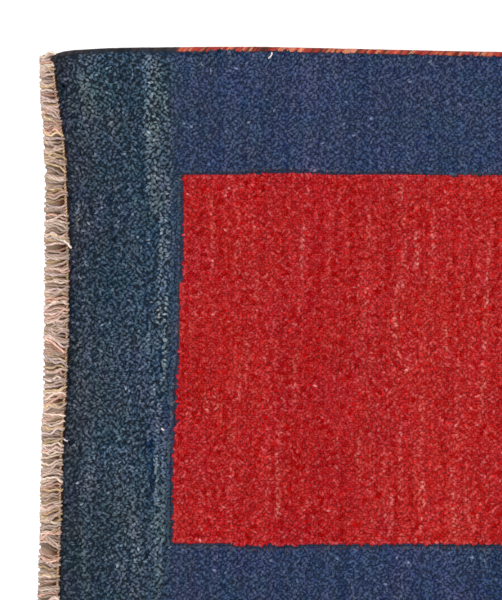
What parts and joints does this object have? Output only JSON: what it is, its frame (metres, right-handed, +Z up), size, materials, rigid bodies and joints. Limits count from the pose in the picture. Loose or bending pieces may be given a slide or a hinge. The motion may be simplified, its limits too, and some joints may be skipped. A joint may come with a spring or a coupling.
{
  "type": "hand-knotted wool rug",
  "caption": "Small rectangular hand-knotted wool rug lying flat, thick pile with a plain centre field in a plain border, corded side selvedges and short warp fringes at both ends.",
  "frame": {"origin": "middle of the rug, on the floor it lies on", "axes": "+X along the warps, from fringe to fringe; +Y along the wefts, from selvedge to selvedge; +Z up out of the pile"},
  "size_m": [0.9485, 0.6261, 0.013],
  "materials": {
    "pile_wool": "matt cut wool pile, indigo border and madder red field",
    "selvedge_wool": "matt overcast wool, orange-red",
    "warp_wool": "matt undyed wool yarn"
  },
  "bodies": {
    "root": {"pile_field": "pile_wool", "selvedge_back": "selvedge_wool", "selvedge_front": "selvedge_wool", "fringe_near": "warp_wool", "fringe_far": "warp_wool"}
  },
  "joints": []
}
